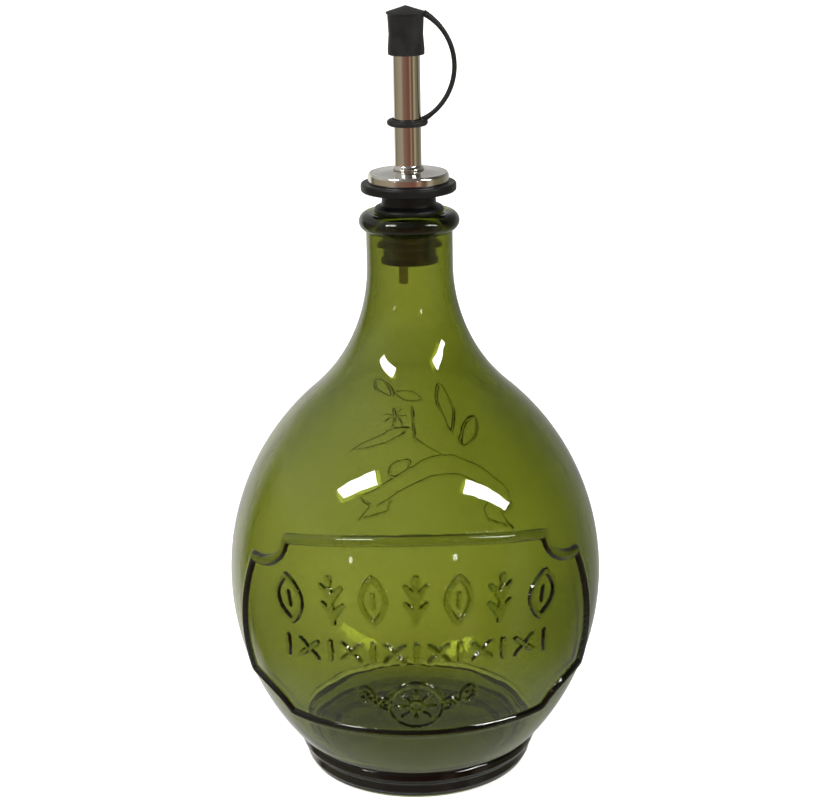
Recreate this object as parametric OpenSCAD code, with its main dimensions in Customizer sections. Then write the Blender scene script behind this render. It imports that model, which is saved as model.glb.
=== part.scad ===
// Round glass oil bottle with a pourer: a rubber stopper, a steel spout with a breather tube,
// and a rubber dust cap tied by a strap to a ring on the spout. Millimetres, +Z up.
// The origin is at the centre of the foot, on the surface that the bottle stands on.

/* [Bottle] */
// Height of the bottle to the top of its lip
bottle_h = 192; // [185:0.5:200]
// Greatest radius of the body
body_r = 63; // [60:0.5:66]
// Height of the body's widest part
body_z = 67.7; // [64:0.1:72]
// Radius of the arc above the widest part
upper_arc_r = 84.5; // [82:0.5:90]
// Radius of the arc below the widest part
lower_arc_r = 87; // [84:0.5:92]
// Radius of the hollow arc that leads into the neck
neck_arc_r = 56.5; // [52:0.5:58]
// Outer radius of the neck
neck_r = 14.1; // [13.8:0.1:14.6]
// Thickness of the glass wall
wall = 3.3; // [2.8:0.1:3.3]

/* [Lip and foot] */
// Outer radius of the lip
lip_r = 16.4; // [15.8:0.1:17]
// Height of the lip
lip_h = 6.2; // [5.8:0.1:7]
// Radius of the rounding at the mouth
mouth_round = 1.2; // [0.8:0.1:1.2]
// Height of the foot
foot_h = 10; // [8:0.5:11]
// Radius of the foot at its top
foot_top_r = 41; // [40.5:0.1:41.5]
// Radius of the foot where it stands
foot_r = 38.4; // [37:0.1:39]
// Radius of the hollow under the foot
punt_r = 32; // [28:0.5:34]
// Height of the hollow under the foot at its centre
punt_h = 6; // [3:0.5:8]
// Thickness of the glass at the centre of the base
base_wall = 5; // [4:0.5:6]

/* [Label panel] */
// Height of the middle of the frame's top edge
panel_top_z = 99.8; // [98:0.1:102]
// Height of the frame's bottom edge
panel_foot_z = 33; // [31:0.1:35]
// Half of the frame's greatest width, seen from the front
panel_half_w = 56.2; // [55:0.1:57]
// Width of the raised frame's bead
bead_w = 3.4; // [2.5:0.1:4]
// Height of the frame's bead above the body
bead_h = 1.3; // [0.6:0.1:1.5]

/* [Stopper] */
// Radius of the stopper's flange
flange_r = 15.5; // [14.5:0.1:16]
// Thickness of the flange
flange_t = 2.9; // [2.5:0.1:3.5]
// Radius of the stopper's body
stopper_r = 8.6; // [7.5:0.05:9]
// Radius of the bead that sits on the lip
seat_r = 11.35; // [11.2:0.05:11.5]
// Gap between the sealing fins and the glass
fin_gap = 0.07; // [0.05:0.01:0.1]
// Radius of the fin at the stopper's bottom end
end_fin_r = 9.4; // [9:0.05:10]

/* [Spout] */
// Outer radius of the spout tube
tube_r = 4.35; // [4.2:0.05:4.5]
// Wall of the spout tube
tube_wall = 0.4; // [0.3:0.05:0.5]
// Height of the spout's tip above the lip
tip_above_lip = 60.2; // [57:0.1:62]
// Radius of the steel disc
disc_r = 13.1; // [12.5:0.1:13.5]
// Outer radius of the breather tube
air_r = 1.55; // [1.4:0.05:1.6]
// Distance of the breather tube from the spout's axis
air_x = 2.1; // [2:0.05:2.15]
// Length of the breather tube below the stopper
air_below = 7.5; // [5:0.5:20]

/* [Dust cap] */
// Outer radius of the cap at its ends
cap_r = 5.85; // [5.7:0.05:6]
// Height of the cap's cylinder
cap_h = 12.8; // [12.5:0.1:13]
// Gap between the cap, or the ring, and the spout tube
slip = 0.06; // [0.04:0.01:0.1]
// Radius of the ring's cord
ring_cord_r = 1.1; // [1:0.05:1.2]
// Height of the ring above the lip
ring_above_lip = 28.7; // [26:0.1:30]
// Radius of the strap's cord
strap_cord_r = 0.78; // [0.7:0.02:0.9]
// Radius of the arc that the strap stands in
strap_arc_r = 19.1; // [18.9:0.1:19.5]

/* [Hidden] */
$fn = 96;

glass_colour = [0.42, 0.47, 0.12, 0.55];
rubber_colour = [0.1, 0.1, 0.11];
steel_colour = [0.78, 0.76, 0.72];

// The three arcs of the body and neck meet at tangents, which fixes these heights.
bore_r = neck_r - wall;
upper_x = body_r - upper_arc_r;
lower_x = body_r - lower_arc_r;
hollow_x = neck_r + neck_arc_r;
neck_z = body_z + sqrt((upper_arc_r + neck_arc_r) ^ 2 - (hollow_x - upper_x) ^ 2);
turn_angle = atan2(neck_z - body_z, hollow_x - upper_x);

// The foot
groove_z = foot_h + 1.4;
groove_r = foot_top_r - 0.4;
foot_round = 1.2;
punt_ball_r = (punt_r ^ 2 + punt_h ^ 2) / (2 * punt_h);
punt_angle = acos(punt_r / punt_ball_r);
// Inside, a rounded heel joins the floor's dome to the wall. It touches both, which fixes its centre.
heel_r = 9;
floor_r = punt_ball_r + base_wall;
floor_centre = [0, punt_h - punt_ball_r];
heel_centre = meet([lower_x, body_z, lower_arc_r - wall - heel_r], [0, floor_centre.y, floor_r + heel_r]);
heel_from = atan2(heel_centre.y - floor_centre.y, heel_centre.x);
heel_to = atan2(heel_centre.y - body_z, heel_centre.x - lower_x);
inner_wall_z = body_z + (lower_arc_r - wall) * sin(heel_to);

// The stopper hangs from its seat on the lip.
seat_cord_r = 1.2;
seat_z = bottle_h + 0.56;
flange_z = bottle_h + 6.6;
disc_z = flange_z + flange_t;
stopper_end = bottle_h - 16.3;
web_t = 2.2;
fin_r = bore_r - fin_gap;
fin_t = 1.5;
fin_heights = [bottle_h - 10.6, bottle_h - 5.2];
end_fin_t = 1.8;
oil_port_r = 1.7;
flange_round = 0.9;

// The spout
disc_rim_h = 3.3;
disc_dome_h = 0.8;
disc_skin = 0.5;
collar_r = 5.2;
collar_t = 0.5;
collar_z = disc_z + disc_rim_h + disc_dome_h;
tip_z = bottle_h + tip_above_lip;
tip_slant = 25;
air_wall = 0.35;
air_top = tip_z - 6;

// The dust cap
cap_z = tip_z - 10.2;
cap_top = cap_z + cap_h;
cap_bore = tube_r + slip;
cap_head_r = 6.2;
cap_head_h = 2.6;
cap_waist = 0.35;
ring_r = tube_r + slip + ring_cord_r;
ring_z = bottle_h + ring_above_lip;
cap_bore_top = tip_z + 0.6;

// The strap's arc: its centre, and the angles at which it leaves the ring and joins the cap
strap_x = -3.9;
strap_z = (ring_z + cap_top) / 2 + 0.6;
strap_in_ring = -62;
strap_low = -53;
strap_high = 47;
strap_in_cap = 62;
root_extra = 0.25;

// The label panel is bounded by arcs, given as [across, up, radius] on the front plane.
panel_top_arc = [0, panel_top_z - 193, 193];
panel_side_arc = [panel_half_w - 77, 61, 77];
panel_notch_arc = [51.5, panel_top_z - 3.5, 10.4];
panel_cut_arc = [56.7, panel_foot_z - 8.3, 18];

// Points along an arc about [x, z], from one angle to another
function arc(x, z, r, from, to, n = 12) =
    [for (i = [0:n]) [x + r * cos(from + (to - from) * i / n), z + r * sin(from + (to - from) * i / n)]];

// The point on the right where two circles, each [x, z, radius], meet
function meet(a, b) =
    let (
        apart = norm([b.x - a.x, b.y - a.y]),
        along = (apart ^ 2 + a.z ^ 2 - b.z ^ 2) / (2 * apart),
        aside = sqrt(a.z ^ 2 - along ^ 2),
        way = [b.x - a.x, b.y - a.y] / apart
    )
    [a.x + way.x * along - way.y * aside, a.y + way.y * along + way.x * aside];

// Outline of the body and neck from height z0 up, inset from the outside by t
function vessel(t, z0) = [
    each arc(lower_x, body_z, lower_arc_r - t, asin((z0 - body_z) / (lower_arc_r - t)), 0, 30),
    each arc(upper_x, body_z, upper_arc_r - t, 0, turn_angle, 24),
    each arc(hollow_x, neck_z, neck_arc_r + t, 180 + turn_angle, 180, 20)
];

// Outline of the outside, from the centre of the base to the top of the lip
function outside() = [
    [0, 0], [foot_r - foot_round, 0], each arc(foot_r - foot_round, foot_round, foot_round, -60, 0, 3),
    [foot_top_r, foot_h - 2], [foot_top_r, foot_h - 0.6], [groove_r, foot_h], [groove_r, groove_z],
    each vessel(0, groove_z),
    [neck_r, bottle_h - lip_h], each arc(lip_r - lip_h / 2, bottle_h - lip_h / 2, lip_h / 2, -90, 90),
    [0, bottle_h]
];

// Outline of the inside, from the centre of its floor to above the mouth
function inside() = [
    each arc(0, floor_centre.y, floor_r, 90, heel_from),
    each arc(heel_centre.x, heel_centre.y, heel_r, heel_from - 180, heel_to),
    each vessel(wall, inner_wall_z),
    [bore_r, bottle_h - mouth_round],
    each arc(bore_r + mouth_round, bottle_h - mouth_round, mouth_round, 180, 90, 6),
    [bore_r + mouth_round, bottle_h + 1], [0, bottle_h + 1]
];

// Outline of the hollow under the foot
function punt() = [[0, -1], [punt_r, -1], each arc(0, floor_centre.y, punt_ball_r, punt_angle, 90)];

// The panel's outline grown by d
module panel(d) {
    difference() {
        intersection() {
            translate([panel_top_arc.x, panel_top_arc.y]) circle(panel_top_arc.z + d, $fn = 360);
            translate([panel_side_arc.x, panel_side_arc.y]) circle(panel_side_arc.z + d, $fn = 360);
            translate([-panel_side_arc.x, panel_side_arc.y]) circle(panel_side_arc.z + d, $fn = 360);
            translate([-body_r, panel_foot_z - d]) square([2 * body_r, body_r * 2]);
        }
        for (side = [-1, 1], corner = [panel_notch_arc, panel_cut_arc])
            translate([side * corner.x, corner.y]) circle(corner.z - d);
    }
}

// The panel's frame, raised on the front of the body
module panel_frame() {
    intersection() {
        rotate([90, 0, 0]) linear_extrude(body_r + 5) difference() {
            panel(bead_w / 2);
            panel(-bead_w / 2);
        }
        rotate_extrude() difference() {
            polygon([[0, groove_z], each vessel(-bead_h, groove_z), [0, neck_z]]);
            polygon([[0, groove_z - 1], each vessel(wall / 2, groove_z - 1), [0, neck_z]]);
        }
    }
}

module bottle() {
    color(glass_colour) {
        rotate_extrude() difference() {
            polygon(outside());
            polygon(inside());
            polygon(punt());
        }
        panel_frame();
    }
}

// Half-section of one fin, thinner at its rim
function fin(z) = [[stopper_r, z], [fin_r, z], [fin_r, z + fin_t / 3], [stopper_r, z + fin_t]];

// Half-section of the rubber stopper, from its bottom end up
module stopper_section() {
    flange_x = flange_r - flange_round;
    polygon([
        [0, stopper_end], [end_fin_r, stopper_end], [end_fin_r, stopper_end + end_fin_t - 0.4],
        [stopper_r, stopper_end + end_fin_t],
        each fin(fin_heights[0]), each fin(fin_heights[1]),
        each arc(seat_r - seat_cord_r, seat_z, seat_cord_r, -80, 80),
        [stopper_r, seat_z + seat_cord_r + 0.4], [stopper_r, flange_z - 1.5], [stopper_r + 1.5, flange_z],
        each arc(flange_x, flange_z + flange_round, flange_round, -90, 0, 6),
        each arc(flange_x, disc_z - flange_round, flange_round, 0, 90, 6),
        [0, disc_z]
    ]);
}

module stopper() {
    color(rubber_colour)
    difference() {
        rotate_extrude() stopper_section();
        translate([0, 0, stopper_end + web_t]) cylinder(r = tube_r, h = disc_z);
        translate([-air_x, 0, stopper_end - 1]) cylinder(r = air_r, h = web_t + 2);
        translate([air_x, 0, stopper_end - 1]) cylinder(r = oil_port_r, h = web_t + 2);
    }
}

// A pressed steel cover, open underneath, with the spout through its centre
module spout_disc() {
    color(steel_colour)
    rotate_extrude() difference() {
        polygon([
            [tube_r, disc_z], [disc_r - 0.3, disc_z], [disc_r, disc_z + 0.4],
            [disc_r, disc_z + disc_rim_h - 0.8], [disc_r - 0.8, disc_z + disc_rim_h],
            [collar_r + 0.4, collar_z - 0.3], [collar_r, collar_z], [tube_r, collar_z]
        ]);
        polygon([
            [tube_r + disc_skin, disc_z - 1], [disc_r - disc_skin, disc_z - 1],
            [disc_r - disc_skin, disc_z + disc_rim_h - 1], [disc_r - 1.3, disc_z + disc_rim_h - disc_skin],
            [tube_r + disc_skin, collar_z - 0.7]
        ]);
    }
}

module spout_tube() {
    color(steel_colour)
    difference() {
        union() {
            translate([0, 0, stopper_end + web_t]) cylinder(r = tube_r, h = tip_z - stopper_end - web_t);
            translate([0, 0, collar_z]) cylinder(r = collar_r, h = collar_t);
        }
        translate([0, 0, stopper_end]) cylinder(r = tube_r - tube_wall, h = tip_z);
        translate([tube_r, 0, tip_z]) rotate([0, -tip_slant, 0]) translate([-20, -20, 0]) cube(40);
    }
}

module air_tube() {
    color(steel_colour)
    translate([-air_x, 0, stopper_end - air_below]) difference() {
        cylinder(r = air_r, h = air_top - stopper_end + air_below);
        translate([0, 0, -1]) cylinder(r = air_r - air_wall, h = air_top);
    }
}

// One stretch of the strap's arc, which stands in the XZ plane
module strap_arc(from, to, r) {
    translate([strap_x, 0, strap_z]) rotate([90, 0, 0]) rotate([0, 0, from])
        rotate_extrude(angle = to - from) translate([strap_arc_r, 0]) circle(r, $fn = 32);
}

// A cup that fits down over the spout's tip, with a low pointed head and the strap's upper root
module dust_cap() {
    color(rubber_colour) {
        rotate_extrude() difference() {
            polygon([
                [0, cap_z], [cap_r - 0.5, cap_z], [cap_r, cap_z + 0.5], [cap_r, cap_z + 2],
                [cap_r - cap_waist, cap_z + cap_h / 2], [cap_r, cap_top], [cap_head_r, cap_top],
                [cap_head_r - 0.3, cap_top + 0.5], [1.5, cap_top + cap_head_h - 0.3],
                [0, cap_top + cap_head_h]
            ]);
            translate([0, cap_z - 1]) square([cap_bore, cap_bore_top - cap_z + 1]);
        }
        strap_arc(strap_high, strap_in_cap, strap_cord_r + root_extra);
    }
}

module cap_strap() {
    color(rubber_colour) strap_arc(strap_low, strap_high, strap_cord_r);
}

// The ring round the spout, with the strap's lower root
module cap_ring() {
    color(rubber_colour) {
        translate([0, 0, ring_z]) rotate_extrude() translate([ring_r, 0]) circle(ring_cord_r, $fn = 48);
        strap_arc(strap_in_ring, strap_low, strap_cord_r);
    }
}

bottle();
stopper();
spout_disc();
spout_tube();
air_tube();
dust_cap();
cap_strap();
cap_ring();
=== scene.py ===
"""Looks for the glass oil bottle: pressed green glass, a pourer of rubber and steel, and a rubber dust cap.

The object is worked out in millimetres, as in the CAD, and becomes metres when a mesh is made. The camera,
the lights and the materials are in metres.
"""

import math

import bmesh
import bpy
import numpy as np
from mathutils import Euler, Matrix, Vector


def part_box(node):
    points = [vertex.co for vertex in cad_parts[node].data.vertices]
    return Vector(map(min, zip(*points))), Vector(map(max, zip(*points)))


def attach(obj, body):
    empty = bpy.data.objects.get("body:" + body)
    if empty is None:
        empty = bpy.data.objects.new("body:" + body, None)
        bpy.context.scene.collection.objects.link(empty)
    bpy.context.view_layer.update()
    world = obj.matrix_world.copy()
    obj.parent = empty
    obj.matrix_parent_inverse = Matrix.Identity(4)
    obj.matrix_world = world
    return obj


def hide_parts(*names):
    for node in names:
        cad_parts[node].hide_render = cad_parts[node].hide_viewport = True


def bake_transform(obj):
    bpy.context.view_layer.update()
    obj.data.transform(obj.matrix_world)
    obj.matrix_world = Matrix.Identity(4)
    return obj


MM = 0.001

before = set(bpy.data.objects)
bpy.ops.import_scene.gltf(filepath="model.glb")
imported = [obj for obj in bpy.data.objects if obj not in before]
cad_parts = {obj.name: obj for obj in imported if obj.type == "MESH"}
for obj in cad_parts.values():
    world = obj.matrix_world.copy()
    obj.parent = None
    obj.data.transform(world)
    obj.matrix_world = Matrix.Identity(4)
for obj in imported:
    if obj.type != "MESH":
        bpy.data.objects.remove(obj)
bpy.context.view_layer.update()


def extent(node):
    """How far a CAD node reaches along X, and its lowest and highest points, to a tenth of a millimetre."""
    low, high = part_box(node)
    return [round(value / MM, 1) for value in (high.x, low.z, high.z)]


# Sizes and places that the frame gives
BODY_R, _, BOTTLE_H = extent("bottle")
FLANGE_R, STOPPER_END, DISC_Z = extent("stopper")
DISC_R, _, COLLAR_Z = extent("spout_disc")
COLLAR_R, _, TIP_Z = extent("spout_tube")
_, AIR_END, AIR_TOP = extent("air_tube")
_, CAP_Z, CAP_PEAK = extent("dust_cap")

# The bottle's other sizes, as in the CAD
BODY_Z = 67.7  # height of the body's widest part
UPPER_ARC_R = 84.5
LOWER_ARC_R = 87
NECK_ARC_R = 56.5
NECK_R = 14.1
WALL = 3.3
BORE_R = NECK_R - WALL
MOUTH_ROUND = 1.2
LIP_R = 16.4
LIP_H = 6.2
FOOT_H = 10
FOOT_TOP_R = 41
FOOT_R = 38.4
PUNT_R = 32
PUNT_H = 6
PUNT_ARC_R = (PUNT_R**2 + PUNT_H**2) / (2 * PUNT_H)
BASE_WALL = 5
HEEL_R = 9
UNEVEN = 0.4  # how far the inside of the body is off centre, in the looks only

# The three arcs of the body and neck meet at tangents, which fixes these
UPPER_X = BODY_R - UPPER_ARC_R
LOWER_X = BODY_R - LOWER_ARC_R
HOLLOW_X = NECK_R + NECK_ARC_R
NECK_Z = BODY_Z + math.sqrt((UPPER_ARC_R + NECK_ARC_R) ** 2 - (HOLLOW_X - UPPER_X) ** 2)
TURN = math.degrees(math.atan2(NECK_Z - BODY_Z, HOLLOW_X - UPPER_X))

# The label panel: its arcs are (across, up, radius) on the front plane
PANEL_TOP_Z = 99.8
PANEL_FOOT_Z = 33
PANEL_HALF_W = 56.2
PANEL_TOP_ARC = (0, PANEL_TOP_Z - 193, 193)
PANEL_SIDE_ARC = (PANEL_HALF_W - 77, 61, 77)
PANEL_NOTCH_ARC = (51.5, PANEL_TOP_Z - 3.5, 10.4)
PANEL_CUT_ARC = (56.7, PANEL_FOOT_Z - 8.3, 18)
BEAD_W = 3.4
BEAD_H = 1.3

# The pourer
FLANGE_Z = BOTTLE_H + 6.6
DISC_RIM_H = 3.3
STOPPER_R = 8.6
END_FIN_R = 9.4
FIN_HEIGHTS = (BOTTLE_H - 10.6, BOTTLE_H - 5.2)
SEAT_R = 11.35
SEAT_CORD_R = 1.2
SEAT_Z = BOTTLE_H + 0.56
TUBE_R = 4.35
TUBE_WALL = 0.4
TIP_SLANT = 25
AIR_R = 1.55
AIR_X = 2.1
AIR_WALL = 0.35

# The dust cap, ring and strap
CAP_H = 12.8
CAP_TOP = CAP_Z + CAP_H
CAP_R = 5.85
CAP_HEAD_R = 6.2
CAP_WAIST = 0.35
CAP_BORE_TOP = TIP_Z + 0.6
SLIP = 0.06
RING_CORD_R = 1.1
RING_R = TUBE_R + SLIP + RING_CORD_R
RING_Z = BOTTLE_H + 28.7
STRAP_R = 0.78
STRAP_ARC_R = 19.1
STRAP_X = -3.9
STRAP_Z = (RING_Z + CAP_TOP) / 2 + 0.6

# The glass's mesh
COLUMNS = 144  # cells round the bottle
ROWS = 48  # cells up the moulded part of the body
MOULDED = (14, 132)  # heights between which the body can carry relief
HALVE_WITHIN = (3, 0.8, 0.1)  # a cell this near a relief's edge is halved once, twice and three times
HALVINGS = len(HALVE_WITHIN)
FINE = 2**HALVINGS

# The relief's strokes
STROKE_STEP = 0.8  # longest step along a stroke
STROKE_REACH = 5  # how far around a stroke the distance to it is worked out
FLANK = 0.8  # width of a rounded stroke's steep side
FLAT = {"rise": 1.0, "bevel": 0.5}
LOW = {"rise": 0.85, "bevel": 0.5}
THIN = {"half": 0.5, "rise": 0.5, "back": True}


# ---------------------------------------------------------------- outlines
def arc(x, z, r, start, end, count=12):
    """Points of an arc about (x, z), with its angles in degrees."""
    angle = np.radians(np.linspace(start, end, count + 1))
    return np.column_stack([x + r * np.cos(angle), z + r * np.sin(angle)])


def rounded(points, radius, count=4):
    """An open outline whose corners are eased over up to radius, but under half of a side."""
    points = np.array(points, float)
    eased = [points[0]]
    for before, corner, after in zip(points, points[1:], points[2:]):
        into, away = before - corner, after - corner
        reach = min(radius, np.linalg.norm(into) / 2.2, np.linalg.norm(away) / 2.2)
        start = corner + into / np.linalg.norm(into) * reach
        end = corner + away / np.linalg.norm(away) * reach
        for t in np.linspace(0, 1, count + 1):
            eased.append((1 - t) ** 2 * start + 2 * t * (1 - t) * corner + t**2 * end)
    return np.array(eased + [points[-1]])


def along(points):
    """Distance of each point along an outline or a path."""
    return np.concatenate([[0], np.cumsum(np.linalg.norm(np.diff(points, axis=0), axis=1))])


def spaced(points, count):
    """count points at even distances along an outline or a path."""
    points = np.asarray(points, float)
    place = along(points)
    even = np.linspace(0, place[-1], count)
    return np.column_stack([np.interp(even, place, axis) for axis in points.T])


def vessel(inset, low, high=NECK_Z):
    """Outline of the body and neck between two heights, inset from the outside, in steps of about 0.2."""
    outline = np.vstack([
        arc(LOWER_X, BODY_Z, LOWER_ARC_R - inset, -50, 0, 400),
        arc(UPPER_X, BODY_Z, UPPER_ARC_R - inset, 0, TURN, 400)[1:],
        arc(HOLLOW_X, NECK_Z, NECK_ARC_R + inset, 180 + TURN, 180, 300)[1:],
    ])
    radius, height = outline.T
    inner = outline[(height > low) & (height < high)]
    ends = [[np.interp(z, height, radius), z] for z in (low, high)]
    return np.vstack([ends[0], inner, ends[1]])


def body_radius(z):
    """Outside radius of the body at a height."""
    radius, height = vessel(0, FOOT_H).T
    return np.interp(z, height, radius)


# ---------------------------------------------------------------- meshes
def new_object(name, points, faces, merge=0.0):
    """A smooth-shaded mesh object from points in millimetres. Points nearer than merge become one."""
    mesh = bpy.data.meshes.new(name)
    mesh.from_pydata((np.asarray(points) * MM).tolist(), [], faces)
    shape = bmesh.new()
    shape.from_mesh(mesh)
    if merge:
        bmesh.ops.remove_doubles(shape, verts=shape.verts, dist=merge * MM)
    bmesh.ops.recalc_face_normals(shape, faces=shape.faces)
    shape.to_mesh(mesh)
    shape.free()
    mesh.shade_smooth()
    piece = bpy.data.objects.new(name, mesh)
    bpy.context.scene.collection.objects.link(piece)
    return piece


def turned(outline, columns):
    """Points and faces of an outline, [radius, height], turned about the Z axis."""
    angle = np.arange(columns) * math.tau / columns
    radius, height = np.asarray(outline, float).T
    points = np.stack([
        np.outer(radius, np.cos(angle)),
        np.outer(radius, np.sin(angle)),
        np.outer(height, np.ones(columns)),
    ], axis=-1).reshape(-1, 3)
    faces = []
    for row in range(len(radius) - 1):
        low, high = row * columns, (row + 1) * columns
        for column in range(columns):
            beside = (column + 1) % columns
            faces.append((low + column, low + beside, high + beside, high + column))
    return points, faces


def turned_piece(name, outline, columns=128):
    """A lathe-turned piece. An outline that starts and ends off the axis is closed into a ring."""
    outline = np.asarray(outline, float)
    if outline[0][0] > 0 and outline[-1][0] > 0:
        outline = np.vstack([outline, outline[:1]])
    points, faces = turned(outline, columns)
    return new_object(name, points, faces, merge=0.001)


def join(*parts):
    """One set of points and faces from several."""
    points, faces, first = [], [], 0
    for part_points, part_faces in parts:
        points.append(part_points)
        faces += [[first + corner for corner in face] for face in part_faces]
        first += len(part_points)
    return np.vstack(points), faces


# ---------------------------------------------------------------- relief
def circle_corner(a, b, side):
    """Where two circles, (x, z, radius), meet: the point on that side of the line from a to b."""
    start, across = np.array(a[:2]), np.subtract(b[:2], a[:2])
    apart = np.linalg.norm(across)
    reach = (apart**2 + a[2] ** 2 - b[2] ** 2) / (2 * apart)
    rise = math.sqrt(a[2] ** 2 - reach**2)
    unit = across / apart
    return start + unit * reach + side * rise * np.array([-unit[1], unit[0]])


def arc_between(circle, start, end, count=40):
    """The shorter arc of a circle between two points on it."""
    centre = np.array(circle[:2])
    first = math.degrees(math.atan2(*(start - centre)[::-1]))
    last = math.degrees(math.atan2(*(end - centre)[::-1]))
    last = first + (last - first + 180) % 360 - 180
    return arc(*circle, first, last, count)


def panel_outline():
    """The label frame's line, as [across, up] points all the way round."""
    cut_x, cut_z, cut_r = PANEL_CUT_ARC
    foot = np.array([cut_x - math.sqrt(cut_r**2 - (PANEL_FOOT_Z - cut_z) ** 2), PANEL_FOOT_Z])
    cut = circle_corner(PANEL_SIDE_ARC, PANEL_CUT_ARC, 1)
    shoulder = circle_corner(PANEL_SIDE_ARC, PANEL_NOTCH_ARC, -1)
    top = circle_corner(PANEL_TOP_ARC, PANEL_NOTCH_ARC, 1)
    middle = np.array([0, PANEL_TOP_Z])
    right = np.vstack([
        [[0, PANEL_FOOT_Z], foot],
        arc_between(PANEL_CUT_ARC, foot, cut),
        arc_between(PANEL_SIDE_ARC, cut, shoulder, 60),
        arc_between(PANEL_NOTCH_ARC, shoulder, top),
        arc_between(PANEL_TOP_ARC, top, middle, 60),
    ])
    return np.vstack([right, right[::-1] * [-1, 1]])


def turned_path(path, angle, place, flip=1):
    """A flat path turned by degrees about its origin, mirrored if flip is -1, and moved to a place."""
    a = math.radians(angle)
    turn = np.array([[math.cos(a), math.sin(a)], [-math.sin(a), math.cos(a)]])
    return np.asarray(path, float) @ turn * [flip, 1] + place


def almond(length, width):
    """A closed leaf outline, pointed at the origin and at its tip along +x."""
    t = np.linspace(0, 1, 17)
    side = width / 2 * np.sin(np.pi * t) ** 0.8
    return np.vstack([np.column_stack([length * t, side]), np.column_stack([length * t, -side])[::-1]])


def scroll(size):
    """A spiral of 1.35 turns from the origin, which winds in to 0.22 of its first radius."""
    t = np.linspace(0, 1, 36)
    angle = 1.35 * math.tau * t
    radius = size * (1 - 0.78 * t)
    return np.column_stack([radius * np.sin(angle), size - radius * np.cos(angle)])


class Relief:
    """Raised strokes on the body. Each is a path on the glass, with half its width at each point."""

    def __init__(self, surface):
        self.surface = surface  # lattice points on the body, (columns, rows, 3)
        self.height = np.zeros(surface.shape[:2])
        self.detail = np.full(surface.shape[:2], 1e3)  # distance to the nearest shaped edge

    def add(self, path, half, rise, back=False, bevel=None):
        """Raises a stroke: rounded right across, or flat on top where a bevel is given."""
        path = spaced(path, int(along(path)[-1] / STROKE_STEP) + 2)
        half = np.interp(np.linspace(0, 1, len(path)), np.linspace(0, 1, np.size(half)), np.atleast_1d(half))
        radius = body_radius(path[:, 1])
        depth = np.sqrt(np.maximum(radius**2 - path[:, 0] ** 2, 0))
        line = np.column_stack([path[:, 0], depth if back else -depth, path[:, 1]])
        margin = half.max() + STROKE_REACH
        near = np.all((self.surface > line.min(0) - margin) & (self.surface < line.max(0) + margin), axis=2)
        ratio, inside = stroke_distance(self.surface[near], line, half)
        if bevel:
            shape = np.clip(inside / bevel, 0, 1)
            shape = shape * shape * (3 - 2 * shape)
        else:
            bevel = min(half.max(), FLANK)
            shape = np.sqrt(np.maximum(1 - ratio**2, 0))
        edge = np.maximum(-inside, inside - bevel)
        self.height[near] = np.maximum(self.height[near], rise * shape)
        self.detail[near] = np.minimum(self.detail[near], edge)


def stroke_distance(points, line, half):
    """For each point, its distance from the line over the half width, and how far inside the edge it is."""
    ratio = np.full(len(points), 1e3)
    inside = np.full(len(points), -1e3)
    for start, end, first, last in zip(line, line[1:], half, half[1:]):
        step = end - start
        t = np.clip((points - start) @ step / max(step @ step, 1e-9), 0, 1)
        gap = np.linalg.norm(points - start - t[:, None] * step, axis=1)
        width = first + t * (last - first)
        ratio = np.minimum(ratio, gap / np.maximum(width, 1e-3))
        inside = np.maximum(inside, width - gap)
    return ratio, inside


def arched(x, middle, drop, reach):
    """Height at x of a row that is middle high at its centre, and drop lower at reach from it."""
    return middle - drop * (x / reach) ** 2


def add_bud(relief, foot, upright):
    """An almond with a short bar in it."""
    relief.add(turned_path(almond(14, 7.6), upright, foot), 1.15, **FLAT)
    relief.add(turned_path([[5, 0], [9, 0]], upright, foot), 0.9, **FLAT)


def add_twig(relief, foot, upright, lean):
    """A stem with a bead above it and two pairs of leaves. Lean moves each pair onto the leaning stem."""
    relief.add(turned_path([[0, 0], [10.5, 0]], upright, foot), 1.2, **FLAT)
    relief.add(turned_path([[12.6, 0], [13.6, 0]], upright, foot), 1.5, **FLAT)
    for level in (0.8, 6.2):
        root = (foot[0] + lean * level, foot[1] + level)
        for flip in (-1, 1):
            leaf = turned_path([[0, 0], [3, 1.2], [5.8, 1.4]], 44, root, flip)
            relief.add(leaf, (1.0, 1.35, 1.0), **FLAT)


def add_leaf_row(relief):
    """Buds and twigs by turns, fanned out a little, in the upper half of the panel."""
    for number in range(-3, 4):
        x = number * 13
        foot = (x, arched(x, 74.8, 5, 43))
        upright = 90 - number * 3
        if number % 2:
            add_bud(relief, foot, upright)
        else:
            add_twig(relief, foot, upright, number * 0.05)


def add_cross_row(relief):
    """Upright bars and crosses by turns, below the leaves."""
    for number in range(-6, 7):
        x = number * 6.8
        z = arched(x, 64.2, 2.6, 42)
        if number % 2:
            for angle in (45, 135, 225, 315):
                relief.add(turned_path([[0.4, 0], [4.0, 0]], angle, (x, z)), (0.8, 1.15, 0.9), **LOW)
        else:
            relief.add([[x, z - 3.2], [x, z + 3.2]], (1.0, 1.3, 1.0), **LOW)


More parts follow.
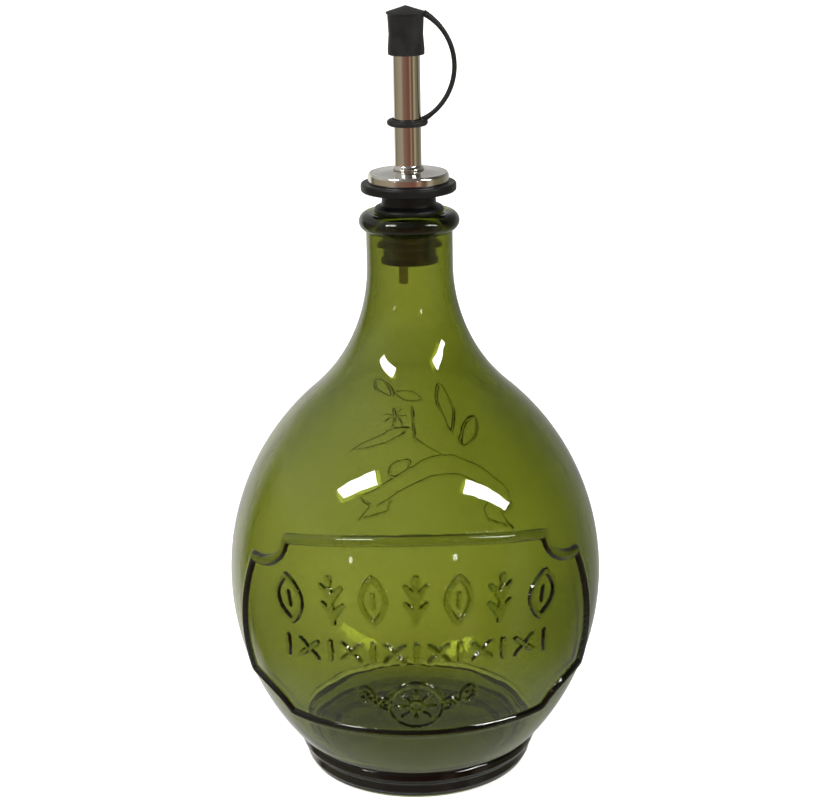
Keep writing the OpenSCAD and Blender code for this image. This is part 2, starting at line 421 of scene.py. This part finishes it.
def add_stamp(relief):
    """A ring with a flower in it and a heavier arc over its top, and scrolls on both sides of it."""
    centre = np.array([-0.5, 45])
    relief.add(arc(*centre, 8.6, 0, 360, 60), 0.6, **LOW)
    relief.add(arc(*centre, 8.6, 25, 155, 30), 0.95, **LOW)
    relief.add(arc(*centre, 2.0, 0, 360, 24), 0.6, 0.7)
    for angle in range(0, 360, 45):
        relief.add(turned_path([[3.3, 0], [6.2, 0]], angle, centre), (0.6, 0.9, 0.6), **LOW)
    for flip in (-1, 1):
        relief.add(arc(0, 61, 20, -65, -30, 24) * [flip, 1] + [centre[0], 0], 0.8, **LOW)
        for x, z, angle, size in ((17.2, 51.2, 165, 3.2), (15.2, 47.0, -15, 2.8), (11.0, 43.8, 20, 2.4)):
            relief.add(turned_path(scroll(size), angle, (x * flip, z), flip), (0.8, 0.6), **LOW)


def add_sprig(relief):
    """The back's olive sprig in thin raised lines: five leaves, a fruit, a stem and a blossom."""
    for x, z, angle, length, width in (
        (-8.5, 114.5, 118, 12, 4.5),
        (4.0, 112.0, 160, 12, 5.0),
        (15.5, 99.0, 100, 23, 5.5),
        (19.5, 93.0, 72, 15, 5.0),
        (-2.0, 99.0, 197, 22, 3.4),
        (-9.5, 79.5, 35, 10, 6.5),
    ):
        relief.add(turned_path(almond(length, width), angle, (x, z)), **THIN)
    relief.add([[0, 108], [0.5, 98], [1.0, 94]], **THIN)
    relief.add([[1.0, 96], [6, 91.5], [11, 88]], **THIN)
    for number in range(7):
        relief.add(turned_path([[1.2, 0], [4.2, 0]], number * 360 / 7, (-7.1, 103.7)), **THIN)


def add_ribbon(relief):
    """The blank ribbon below the sprig, and its two forked ends."""
    upper = [[-16, 74], [-4, 80.5], [7, 86.5], [17, 88], [27, 84.5], [37, 77]]
    lower = [[37, 70], [26, 77], [17, 80], [7, 78.5], [-4, 73], [-14, 67.5]]
    relief.add(rounded(upper + lower, 3), **THIN)
    relief.add([[-16, 74], [-22, 73], [-17, 68], [-21, 63], [-10, 64.5], [-9, 69]], **THIN)
    relief.add([[37, 77], [38, 70], [33, 66.5], [38, 62], [28, 63], [27, 67], [30, 73.5]], **THIN)


# ---------------------------------------------------------------- the glass
def leaf_cells(wanted):
    """Blocks of lattice cells as (column, row, size), halved until each is as fine as its cells want."""
    columns, rows = wanted.shape[0] // FINE, wanted.shape[1] // FINE
    present = np.ones((columns, rows), bool)
    leaves = []
    for level in range(HALVINGS + 1):
        size = FINE >> level
        most = wanted.reshape(columns << level, size, rows << level, size).max(axis=(1, 3))
        halve = present & (most > level)
        leaves += [(c * size, r * size, size) for c, r in np.argwhere(present & ~halve)]
        present = halve.repeat(2, axis=0).repeat(2, axis=1)
    return leaves


def skin(wanted):
    """Which lattice points the leaf cells use, and the cells as faces over those points.

    A cell also takes in the points on its sides that a finer neighbour uses, so the skin has no cracks.
    """
    columns, rows = wanted.shape
    leaves = leaf_cells(wanted)
    used = np.zeros((columns, rows + 1), bool)
    for column, row, size in leaves:
        for c in (column, (column + size) % columns):
            used[c, row] = used[c, row + size] = True
    number = np.cumsum(used.ravel()).reshape(used.shape) - 1
    faces = []
    for column, row, size in leaves:
        steps = range(size)
        ring = [(column + s, row) for s in steps]
        ring += [(column + size, row + s) for s in steps]
        ring += [(column + size - s, row + size) for s in steps]
        ring += [(column, row + size - s) for s in steps]
        ring = [(c % columns, r) for c, r in ring]
        faces.append([int(number[p]) for p in ring if used[p]])
    return used, faces


def moulded_body():
    """Points and faces of the part of the outside that carries the relief."""
    outline = spaced(vessel(0, *MOULDED), ROWS * FINE + 1)
    angle = np.arange(COLUMNS * FINE) * math.tau / (COLUMNS * FINE)
    way = np.column_stack([np.cos(angle), np.sin(angle)])
    surface = np.empty((len(angle), len(outline), 3))
    surface[..., :2] = way[:, None] * outline[:, 0][None, :, None]
    surface[..., 2] = outline[:, 1]

    relief = Relief(surface)
    relief.add(panel_outline(), BEAD_W / 2, BEAD_H)
    for add in (add_leaf_row, add_cross_row, add_stamp, add_sprig, add_ribbon):
        add(relief)

    slope = np.gradient(outline, axis=0)
    slope /= np.linalg.norm(slope, axis=1)[:, None]
    surface[..., :2] += way[:, None] * (relief.height * slope[:, 1])[..., None]
    surface[..., 2] -= relief.height * slope[:, 0]

    wanted = sum((relief.detail < reach).astype(int) for reach in HALVE_WITHIN)
    wanted = np.maximum(wanted[:, :-1], wanted[:, 1:])
    wanted = np.maximum(wanted, np.roll(wanted, -1, axis=0))
    used, faces = skin(wanted)
    return surface[used], faces


def foot_outline():
    """From the centre of the hollow under the base, round the foot, up to the moulded part of the body."""
    rim = math.degrees(math.acos(PUNT_R / PUNT_ARC_R))
    body_foot = FOOT_H + 1.6
    foot = rounded([
        (PUNT_R, 0), (FOOT_R - 0.4, 0), (FOOT_R + 0.3, 1.6), (FOOT_R + 0.8, 2.2), (FOOT_R + 0.9, 5.4),
        (FOOT_TOP_R - 0.5, 6.1), (FOOT_TOP_R - 0.3, 7.0), (FOOT_TOP_R, 7.4), (FOOT_TOP_R, FOOT_H - 0.6),
        (FOOT_TOP_R - 0.5, FOOT_H), (FOOT_TOP_R - 0.5, FOOT_H + 1), vessel(0, body_foot)[0],
    ], 0.5)
    return np.vstack([
        arc(0, PUNT_H - PUNT_ARC_R, PUNT_ARC_R, 90, rim, 10)[:-1],
        foot[:-1],
        spaced(vessel(0, body_foot, MOULDED[0]), 3),
    ])


def mouth_outline():
    """From the top of the moulded part, up the neck, over the lip, and down the bore."""
    round_r = LIP_H / 2
    neck_top = BOTTLE_H - LIP_H
    neck = np.vstack([vessel(0, MOULDED[1]), [(NECK_R, neck_top - 0.4)]])
    return np.vstack([
        spaced(neck, 24)[:-1],
        rounded([(NECK_R, neck_top - 0.4), (NECK_R, neck_top), (NECK_R + 0.7, neck_top)], 0.4, 3)[:-1],
        arc(LIP_R - round_r, BOTTLE_H - round_r, round_r, -75, 88, 14),
        arc(BORE_R + MOUTH_ROUND, BOTTLE_H - MOUTH_ROUND, MOUTH_ROUND, 92, 180, 5),
        spaced([(BORE_R, BOTTLE_H - 1.6), (BORE_R, BOTTLE_H - 13)], 5),
    ])


def inside_outline():
    """Down the inside of the body, round the heel, to the middle of the floor."""
    floor_r = PUNT_ARC_R + BASE_WALL
    floor_z = PUNT_H - PUNT_ARC_R
    wall_r = LOWER_ARC_R - WALL
    heel = circle_corner((LOWER_X, BODY_Z, wall_r - HEEL_R), (0, floor_z, floor_r + HEEL_R), 1)
    to_floor = math.degrees(math.atan2(heel[1] - floor_z, heel[0]))
    to_wall = math.degrees(math.atan2(heel[1] - BODY_Z, heel[0] - LOWER_X))
    wall_z = BODY_Z + wall_r * math.sin(math.radians(to_wall))
    wall = np.vstack([[(BORE_R, BOTTLE_H - 14)], vessel(WALL, wall_z)[::-1]])
    return np.vstack([
        spaced(wall, 52),
        arc(*heel, HEEL_R, to_wall, to_floor - 180, 8)[1:],
        arc(0, floor_z, floor_r, to_floor, 90, 8)[1:],
    ])


def make_uneven(points):
    """Gives points on the inside two slow waves, 0.1 and 0.07 deep, and moves them a little off centre."""
    height = points[:, 2]
    angle = np.arctan2(points[:, 1], points[:, 0])
    reach = np.hypot(points[:, 0], points[:, 1])
    wave = 0.1 * np.sin(3 * angle + height / 11) + 0.07 * np.sin(7 * angle - height / 17 + 1)
    below_neck = np.clip((BOTTLE_H - 20 - height) / 60, 0, 1)
    above_floor = np.clip(height / 40, 0, 1)
    points[:, :2] *= (1 + below_neck * wave / np.maximum(reach, 10))[:, None]
    points[:, 0] -= below_neck * UNEVEN * above_floor


def glass_bottle():
    """The whole bottle as one closed skin: relief on the outside, and an inside that is a little uneven."""
    mouth = mouth_outline()
    points, faces = turned(np.vstack([mouth, inside_outline()]), COLUMNS)
    make_uneven(points[len(mouth) * COLUMNS:])
    points, faces = join(moulded_body(), turned(foot_outline(), COLUMNS), (points, faces))
    bottle = new_object("glass_bottle", points, faces, merge=0.002)
    bottle.data.set_sharp_from_angle(angle=math.radians(30))  # the relief keeps crisp flanks
    return bottle


# ---------------------------------------------------------------- the pourer
def rubber_stopper():
    """Flange, waist, the bead that sits on the lip, and three fins in the neck, the lowest at its end."""
    fins = []
    for z in FIN_HEIGHTS:
        fins += [(STOPPER_R, z), (BORE_R, z), (BORE_R, z + 0.6), (STOPPER_R, z + 1.6)]
    below = rounded([
        (0, STOPPER_END), (END_FIN_R, STOPPER_END),
        (END_FIN_R, STOPPER_END + 1.4), (STOPPER_R, STOPPER_END + 1.9), *fins,
        (STOPPER_R, SEAT_Z - SEAT_CORD_R - 1.2), (SEAT_R - 1.2, SEAT_Z - SEAT_CORD_R),
    ], 0.3)
    bead = arc(SEAT_R - SEAT_CORD_R, SEAT_Z, SEAT_CORD_R, -80, 80, 12)
    above = rounded([
        (SEAT_R - 1.1, SEAT_Z + SEAT_CORD_R), (STOPPER_R + 0.3, SEAT_Z + SEAT_CORD_R + 0.5),
        (STOPPER_R + 0.1, FLANGE_Z - 1.4), (STOPPER_R + 1.6, FLANGE_Z), (FLANGE_R, FLANGE_Z),
        (FLANGE_R, DISC_Z), (DISC_R - 1, DISC_Z), (TUBE_R, DISC_Z - 0.1), (TUBE_R, DISC_Z - 2),
    ], 0.9, 6)
    return turned_piece("rubber_stopper", np.vstack([below, bead, above, [(0, DISC_Z - 2)]]))


def steel_disc():
    """A pressed cover with a rolled rim and a low dome, hollow underneath."""
    top = DISC_Z + DISC_RIM_H
    hole_r = TUBE_R + 0.02
    outer = rounded([
        (DISC_R - 0.9, DISC_Z + 0.02), (DISC_R - 0.1, DISC_Z + 0.02), (DISC_R, DISC_Z + 0.5),
        (DISC_R, top - 0.9), (DISC_R - 0.5, top), (DISC_R - 1.2, top - 0.1), (9.5, top + 0.1),
        (COLLAR_R, COLLAR_Z - 0.1), (hole_r, COLLAR_Z),
    ], 0.5, 5)
    inner = [
        (hole_r, COLLAR_Z - 0.5), (9.4, top - 0.4), (DISC_R - 0.6, top - 0.7), (DISC_R - 0.9, DISC_Z + 0.5),
    ]
    return turned_piece("steel_disc", np.vstack([outer, inner]))


def steel_spout():
    """A thin tube cut off at a slant, with a collar where it meets the disc."""
    inner_r = TUBE_R - TUBE_WALL
    foot = STOPPER_END + 3
    collar = [
        (COLLAR_R, COLLAR_Z), (COLLAR_R + 0.05, COLLAR_Z + 0.5), (TUBE_R + 0.5, COLLAR_Z + 0.7),
        (TUBE_R, COLLAR_Z + 1.4), (TUBE_R, COLLAR_Z + 3),
    ]
    outline = np.vstack([
        rounded([(inner_r, foot), (TUBE_R, foot), (TUBE_R, COLLAR_Z)], 0.1, 2),
        rounded(collar, 0.3, 3),
        spaced([(TUBE_R, COLLAR_Z + 6), (TUBE_R, TIP_Z - 0.15)], 8),
        [(TUBE_R - 0.1, TIP_Z), (inner_r + 0.1, TIP_Z), (inner_r, TIP_Z - 0.15)],
    ])
    piece = turned_piece("steel_spout", outline, 96)
    slant = math.tan(math.radians(TIP_SLANT))
    low, high = (COLLAR_Z + 3) * MM, TIP_Z * MM
    for vertex in piece.data.vertices:
        share = max(0, (vertex.co.z - low) / (high - low))
        vertex.co.z -= share**6 * (TUBE_R * MM - vertex.co.x) * slant
    return piece


def breather_tube():
    """A thin tube from inside the spout, down through the stopper's end, into the bottle."""
    inner_r = AIR_R - AIR_WALL
    wall = [(inner_r, AIR_END), (AIR_R, AIR_END), (AIR_R, AIR_TOP), (inner_r, AIR_TOP), (inner_r, AIR_END)]
    piece = turned_piece("breather_tube", rounded(wall, 0.12, 3), 48)
    for vertex in piece.data.vertices:
        vertex.co.x -= AIR_X * MM
    return piece


# ---------------------------------------------------------------- the dust cap
def dust_cap():
    """A slightly waisted cup over the spout's tip, with a thin-edged pointed head."""
    bore = TUBE_R + SLIP
    outline = rounded([
        (bore, CAP_BORE_TOP), (bore, CAP_Z), (CAP_R, CAP_Z), (CAP_R, CAP_Z + 2),
        (CAP_R - CAP_WAIST, CAP_Z + CAP_H / 2), (CAP_R - 0.05, CAP_TOP - 0.2),
        (CAP_HEAD_R + 0.15, CAP_TOP + 0.05), (CAP_HEAD_R, CAP_TOP + 0.6),
        (3.4, CAP_TOP + 1.5), (0, CAP_PEAK),
    ], 0.5, 5)
    return turned_piece("rubber_cap", np.vstack([[(0, CAP_BORE_TOP)], outline]), 96)


def swept(name, path, across, thick):
    """A closed bar of oval section along a path in the XZ plane: across is its half width along Y."""
    sides = 24
    path = np.asarray(path, float)
    way = np.gradient(path, axis=0)
    way /= np.linalg.norm(way, axis=1)[:, None]
    angle = np.arange(sides) * math.tau / sides
    points = []
    for (x, z), (wx, wz), a, t in zip(path, way, across, thick):
        out = t * np.cos(angle)
        points.append(np.column_stack([x - wz * out, a * np.sin(angle), z + wx * out]))
    faces = []
    for ring in range(len(path) - 1):
        low, high = ring * sides, (ring + 1) * sides
        for corner in range(sides):
            beside = (corner + 1) % sides
            faces.append((low + corner, low + beside, high + beside, high + corner))
    faces.append(list(range(sides)))
    faces.append(list(range((len(path) - 1) * sides, len(path) * sides)))
    return new_object(name, np.vstack(points), faces)


def cap_strap():
    """The strap, from its root in the ring to its broad root in the cap's head."""
    path = arc(STRAP_X, STRAP_Z, STRAP_ARC_R, -62, 60, 60)
    place = np.linspace(0, 1, len(path))
    thick = np.interp(place, (0, 0.08, 0.8, 0.93, 1), (1.0, STRAP_R, STRAP_R, 0.95, 1.1))
    across = np.interp(place, (0, 0.08, 0.75, 0.93, 1), (1.0, STRAP_R, STRAP_R, 1.5, 1.9))
    return swept("rubber_strap", path, across, thick)


def cap_ring():
    """The ring of round cord at the strap's foot, which turns on the spout."""
    section = arc(RING_R, RING_Z, RING_CORD_R, 180, -176, 40)  # turned_piece closes it
    return turned_piece("rubber_ring", section, 96)


# ---------------------------------------------------------------- materials
class Material:
    """A material with one Principled shader, and the nodes that feed it."""

    def __init__(self, name, **values):
        self.made = bpy.data.materials.new(name)
        self.made.use_nodes = True
        self.nodes = self.made.node_tree.nodes
        self.shader = self.nodes["Principled BSDF"]
        self.output = self.nodes["Material Output"]
        self.place = self.nodes.new("ShaderNodeTexCoord").outputs["Object"]
        for socket, value in values.items():
            self.shader.inputs[socket.replace("_", " ")].default_value = value

    def node(self, kind, settings=None, **inputs):
        """A node of that kind. An input given as another node's output is linked; anything else is set."""
        made = self.nodes.new("ShaderNode" + kind)
        for name, value in (settings or {}).items():
            setattr(made, name, value)
        for name, value in inputs.items():
            socket = made.inputs[name.replace("_", " ")]
            if isinstance(value, bpy.types.NodeSocket):
                self.made.node_tree.links.new(value, socket)
            else:
                socket.default_value = value
        return made

    def link(self, output, socket, node=None):
        """Feeds an output to the shader, or to another node."""
        self.made.node_tree.links.new(output, (node or self.shader).inputs[socket])

    def noise(self, scale, stretch=(1, 1, 1), detail=3.0):
        """Noise from 0 to 1, in grains of 1/scale metres, longer along an axis where stretch is below 1."""
        place = self.node("Mapping", Vector=self.place, Scale=stretch).outputs["Vector"]
        return self.node("TexNoise", Vector=place, Scale=scale, Detail=detail).outputs["Fac"]

    def rings(self, scale):
        """Noise that only changes with the distance from the Z axis, like the marks of a lathe."""
        flat = self.node("VectorMath", {"operation": "MULTIPLY"})
        self.link(self.place, 0, flat)
        flat.inputs[1].default_value = (1, 1, 0)
        reach = self.node("VectorMath", {"operation": "LENGTH"})
        self.link(flat.outputs["Vector"], 0, reach)
        noise = self.node("TexNoise", {"noise_dimensions": "1D"}, W=reach.outputs["Value"], Scale=scale)
        return noise.outputs["Fac"]

    def between(self, noise, low, high):
        """A number from low to high, for a noise that stays mostly between 0.3 and 0.7."""
        ends = {"From_Min": 0.3, "From_Max": 0.7, "To_Min": low, "To_Max": high}
        return self.node("MapRange", Value=noise, **ends).outputs["Result"]

    def colours(self, amount, *stops):
        """A colour from a ramp with two stops, each (place, colour)."""
        ramp = self.node("ValToRGB", Fac=amount)
        for stop, (place, colour) in zip(ramp.color_ramp.elements, stops):
            stop.position = place
            stop.color = (*colour, 1)
        return ramp.outputs["Color"]

    def bump(self, *heights):
        """Bumps from (height output, depth in metres) pairs, one over the other."""
        normal = None
        for height, depth in heights:
            made = self.node("Bump", Height=height, Distance=depth, Strength=1.0)
            if normal:
                self.link(normal, "Normal", made)
            normal = made.outputs["Normal"]
        self.link(normal, "Normal")


def shade(colour, amount):
    """A colour made darker or lighter."""
    return tuple(c * amount for c in colour)


def green_glass():
    """Pressed glass, coloured through its thickness, with the slow ripples that the mould leaves."""
    white = (1, 1, 1, 1)
    glass = Material("green_glass", Transmission_Weight=1.0, IOR=1.5, Roughness=0.012, Base_Color=white)
    absorption = glass.node("VolumeAbsorption", Color=(0.59, 0.622, 0.16, 1), Density=765.0)
    glass.link(absorption.outputs["Volume"], "Volume", glass.output)
    glass.bump((glass.noise(55, (1, 1, 0.5), 1.0), 0.00035), (glass.noise(260, (1, 1, 0.6), 1.0), 0.00002))
    return glass.made


def rubber(name, tone, gloss):
    """Moulded rubber: near black, a little dusty, with a fine grain."""
    made = Material(name, Specular_IOR_Level=0.22)
    dust = made.noise(180, detail=6.0)
    made.link(made.colours(dust, (0.35, tone), (0.8, shade(tone, 2.2))), "Base Color")
    made.link(made.between(dust, gloss, gloss + 0.16), "Roughness")
    made.bump((made.noise(2600, detail=2.0), 0.00003), (made.noise(400, detail=2.0), 0.00006))
    return made.made


def steel(name, tone, marks, gloss, depth):
    """Stainless steel with the marks of its making: marks is given the material, and returns their noise."""
    made = Material(name, Metallic=1.0)
    lines = marks(made)
    smear = made.noise(90, detail=4.0)
    made.link(made.colours(lines, (0.25, shade(tone, 0.86)), (0.75, tone)), "Base Color")
    made.link(made.between(smear, gloss, gloss + 0.09), "Roughness")
    made.bump((lines, depth))
    return made.made


def pale_floor():
    """A pale sheet that glows a little, like a light table, so the foot of the glass isn't in shadow."""
    floor = Material("pale_floor", Roughness=0.6, Emission_Color=(1, 1, 0.98, 1), Emission_Strength=0.6)
    pale = floor.colours(floor.noise(6), (0.3, (0.83, 0.83, 0.82)), (0.7, (0.86, 0.86, 0.85)))
    floor.link(pale, "Base Color")
    return floor.made


# ---------------------------------------------------------------- studio
FLOOR_R = 2300  # where the floor starts to curve up
SWEEP_R = 700
BACKDROP_H = 1100

# The room that the steel and glass mirror, in a low, a middle and a high part. Each has its colours by
# azimuth in degrees, which is 0 behind the camera and 90 on the camera's right.
LOW_ROOM = ((-180, (0.52, 0.52, 0.47)), (180, (0.52, 0.52, 0.47)))
MIDDLE_ROOM = (
    (-180, (0.55, 0.55, 0.53)), (-154, (1.0, 0.98, 0.9)), (-138, (1.0, 0.98, 0.9)),
    (-124, (0.12, 0.10, 0.06)), (-110, (0.33, 0.29, 0.20)), (-44, (0.44, 0.36, 0.27)),
    (-32, (0.27, 0.17, 0.12)), (0, (0.23, 0.11, 0.08)), (18, (0.21, 0.09, 0.05)),
    (28, (0.43, 0.26, 0.19)), (33, (0.43, 0.26, 0.19)), (40, (0.16, 0.11, 0.06)),
    (50, (0.16, 0.11, 0.06)), (58, (0.46, 0.39, 0.28)), (68, (0.46, 0.39, 0.28)),
    (78, (0.22, 0.19, 0.12)), (112, (0.20, 0.18, 0.11)), (128, (0.30, 0.30, 0.25)),
    (180, (0.55, 0.55, 0.53)),
)
HIGH_ROOM = (
    (-180, (0.45, 0.45, 0.43)), (-90, (0.62, 0.62, 0.60)), (-30, (0.28, 0.27, 0.25)),
    (30, (0.12, 0.11, 0.10)), (90, (0.06, 0.06, 0.05)), (150, (0.25, 0.25, 0.24)),
    (180, (0.45, 0.45, 0.43)),
)
LOW_TO_MIDDLE = (-0.74, -0.52)  # sines of the elevations between which one part passes into the next
MIDDLE_TO_HIGH = (0.05, 0.35)


def camera():
    """In front of the bottle, above its top and tipped down, with the photo's slight roll."""
    down, left, roll = 17.4, -0.25, -0.95
    lens = bpy.data.cameras.new("camera")
    lens.lens = 78.6
    lens.sensor_width = 36
    holder = bpy.data.objects.new("camera", lens)
    holder.location = (0, -0.585, 0.311)
    aimed = Euler((math.radians(90 - down), 0, math.radians(left))).to_quaternion()
    rolled = Euler((0, 0, math.radians(roll))).to_quaternion()
    holder.rotation_mode = "QUATERNION"
    holder.rotation_quaternion = aimed @ rolled
    bpy.context.scene.collection.objects.link(holder)
    bpy.context.scene.camera = holder


def soft_light(name, place, target, size, radiance):
    """A rectangular light that faces a target, its first side level. Radiance is that of its surface."""
    lamp = bpy.data.lights.new(name, "AREA")
    lamp.shape = "RECTANGLE"
    lamp.size, lamp.size_y = size
    lamp.energy = radiance * math.pi * size[0] * size[1]
    holder = bpy.data.objects.new(name, lamp)
    holder.location = place
    holder.rotation_mode = "QUATERNION"
    holder.rotation_quaternion = (Vector(place) - Vector(target)).to_track_quat("Z", "Y")
    bpy.context.scene.collection.objects.link(holder)
    return holder


def lights():
    """Two strips overhead and two small lamps in front, which show in the glass, and a soft box behind."""
    soft_light("left_strip", (-0.92, -0.76, 1.1), (-0.92, -0.76, 0), size=(0.74, 0.21), radiance=34)
    soft_light("right_strip", (1.45, -0.82, 1.1), (1.45, -0.82, 0), size=(1.3, 0.24), radiance=34)
    soft_light("left_lamp", (-0.75, -0.93, 0.3), (0, 0, 0.1), size=(0.05, 0.05), radiance=12)
    soft_light("right_lamp", (0.5, -1.07, 0.36), (0, 0, 0.1), size=(0.07, 0.05), radiance=12)
    back = soft_light("back_softbox", (0, 1.5, 2.2), (0, 1.5, 0), size=(4.4, 2.4), radiance=1.3)
    back.visible_glossy = False  # it lights the floor, and the steel would mirror it as a white sheet


def surroundings():
    """The room, as a world that shows each direction's colour."""
    world = bpy.data.worlds.new("studio")
    bpy.context.scene.world = world
    world.use_nodes = True
    nodes, links = world.node_tree.nodes, world.node_tree.links

    def node(kind, settings=None, values=None):
        made = nodes.new("ShaderNode" + kind)
        for name, value in (settings or {}).items():
            setattr(made, name, value)
        for name, value in (values or {}).items():
            made.inputs[name].default_value = value
        return made

    way = node("SeparateXYZ")
    links.new(node("TexCoord").outputs["Generated"], way.inputs["Vector"])
    ahead = node("Math", {"operation": "MULTIPLY"}, {1: -1})
    azimuth = node("Math", {"operation": "ARCTAN2"})
    share = node("MapRange", values={"From Min": -math.pi, "From Max": math.pi})
    links.new(way.outputs["Y"], ahead.inputs[0])
    links.new(way.outputs["X"], azimuth.inputs[0])
    links.new(ahead.outputs[0], azimuth.inputs[1])
    links.new(azimuth.outputs[0], share.inputs["Value"])

    def part(stops):
        """The colours of one part of the room by azimuth."""
        ramp = node("ValToRGB")
        at = ramp.color_ramp.elements
        for number, (degrees, colour) in enumerate(stops):
            stop = at[number] if number < 2 else at.new(1)
            stop.position = degrees / 360 + 0.5
            stop.color = (*colour, 1)
        links.new(share.outputs["Result"], ramp.inputs["Fac"])
        return ramp.outputs["Color"]

    def over(below, above, start, end):
        """Goes from one colour to another as the direction rises."""
        rise = node("MapRange", {"interpolation_type": "SMOOTHSTEP"}, {"From Min": start, "From Max": end})
        mix = node("MixRGB")
        links.new(way.outputs["Z"], rise.inputs["Value"])
        links.new(rise.outputs["Result"], mix.inputs["Fac"])
        links.new(below, mix.inputs["Color1"])
        links.new(above, mix.inputs["Color2"])
        return mix.outputs["Color"]

    room = over(part(LOW_ROOM), part(MIDDLE_ROOM), *LOW_TO_MIDDLE)
    room = over(room, part(HIGH_ROOM), *MIDDLE_TO_HIGH)
    links.new(room, nodes["Background"].inputs["Color"])


def floor():
    """A wide pale floor that curves up into a backdrop far from the bottle, on every side."""
    outline = np.vstack([
        spaced([(0, 0), (FLOOR_R, 0)], 12),
        arc(FLOOR_R, SWEEP_R, SWEEP_R, -90, 0, 12)[1:],
        [(FLOOR_R + SWEEP_R, BACKDROP_H)],
    ])
    points, faces = turned(outline, 96)
    made = new_object("pale_floor", points, faces, merge=1)
    made.data.materials.append(pale_floor())
    made.visible_glossy = False  # the steel and glass mirror the low part of the room instead


# ---------------------------------------------------------------- the model
def fit(piece, made, body, slot, *nodes):
    """Gives a piece its material and body, and hides the CAD nodes that it stands for. The slot is not used.
    """
    piece.data.materials.append(made)
    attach(piece, body)
    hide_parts(*nodes)


camera()
surroundings()
lights()
floor()

fit(glass_bottle(), green_glass(), "bottle_body", "green_glass", "bottle")

bright = (0.74, 0.72, 0.68)
black = rubber("black_rubber", (0.004, 0.004, 0.004), 0.3)
charcoal = rubber("cap_rubber", (0.008, 0.0075, 0.0075), 0.4)
turned_steel = steel("turned_steel", bright, lambda m: m.rings(2200), 0.06, 0.000004)
drawn_steel = steel("drawn_steel", bright, lambda m: m.noise(900, (1, 1, 0.02)), 0.07, 0.000006)
dull_steel = steel("dull_steel", (0.3, 0.24, 0.2), lambda m: m.noise(900, (1, 1, 0.03)), 0.3, 0.00001)

fit(rubber_stopper(), black, "pourer_body", "black_rubber", "stopper")
fit(steel_disc(), turned_steel, "pourer_body", "polished_steel", "spout_disc")
fit(steel_spout(), drawn_steel, "pourer_body", "polished_steel", "spout_tube")
fit(breather_tube(), dull_steel, "pourer_body", "dull_steel", "air_tube")
fit(dust_cap(), charcoal, "cap_body", "cap_rubber", "dust_cap")
fit(cap_ring(), charcoal, "ring_body", "cap_rubber", "cap_ring")

strap = cap_strap()
strap.data.materials.append(charcoal)
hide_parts("cap_strap")
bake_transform(strap)

bpy.context.scene.view_settings.view_transform = "Standard"
